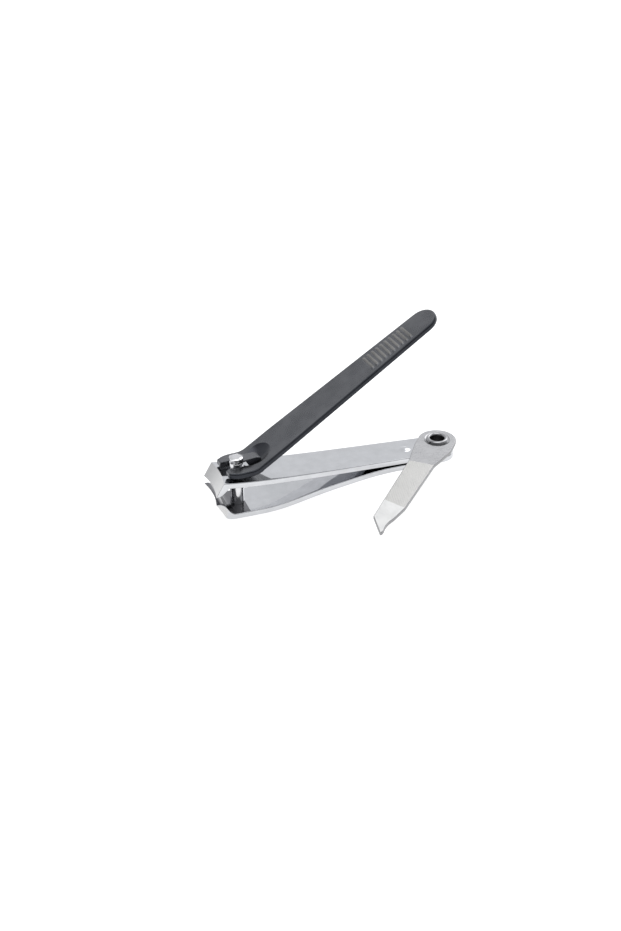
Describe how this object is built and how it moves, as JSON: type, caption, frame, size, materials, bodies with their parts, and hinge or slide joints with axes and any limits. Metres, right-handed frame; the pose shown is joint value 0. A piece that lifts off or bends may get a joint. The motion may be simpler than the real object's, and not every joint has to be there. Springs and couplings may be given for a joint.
{
  "type": "nail clipper",
  "caption": "Folding-lever nail clipper: two sprung chrome arms on a rear eyelet, black ribbed lever on a turned post, and a swinging nail file.",
  "frame": {"origin": "centre of the key-ring eyelet's hole, on the plane where the two arms meet", "axes": "+X from the jaws to the eyelet along the arms, +Y across the arms, +Z from the lower arm up to the lever, along the eyelet's axis"},
  "size_m": [0.0607, 0.0437, 0.0397],
  "materials": {
    "chrome_arms": "mirror chrome plate with ground jaw faces",
    "polished_post": "polished",
    "black_nickel": "gloss black nickel",
    "chrome_eyelet": "polished",
    "file_steel": "satin, crosscut on the blade"
  },
  "bodies": {
    "lower": {"lower_arm": "chrome_arms"},
    "upper": {"upper_arm": "chrome_arms", "eyelet": "chrome_eyelet"},
    "post": {"post": "polished_post"},
    "lever": {"lever": "black_nickel"},
    "file": {"nail_file": "file_steel"}
  },
  "joints": [
    {"name": "jaw_close", "type": "hinge", "parent": "lower", "child": "upper", "pos_m": [0, 0, 0], "axis": [0, -1, 0], "range_deg": [0, 1.86]},
    {"name": "post_swivel", "type": "hinge", "parent": "lower", "child": "post", "pos_m": [-0.0498, 0, 0], "axis": [0, 0, 1], "range_deg": [-186, 174]},
    {"name": "lever_press", "type": "hinge", "parent": "post", "child": "lever", "pos_m": [-0.04846, 0.00014, 0.00685], "axis": [-0.1045, 0.9945, 0], "range_deg": [0, 28], "stiffness_Nm_per_rad": 0.15, "springref_deg": -2.86},
    {"name": "file_swing", "type": "hinge", "parent": "upper", "child": "file", "pos_m": [0, 0, 0], "axis": [0, 0, 1], "range_deg": [-49.3, 130.7]}
  ],
  "couplings": [
    {"joint": "jaw_close", "follows": "lever_press", "ratio": 0.066071}
  ]
}
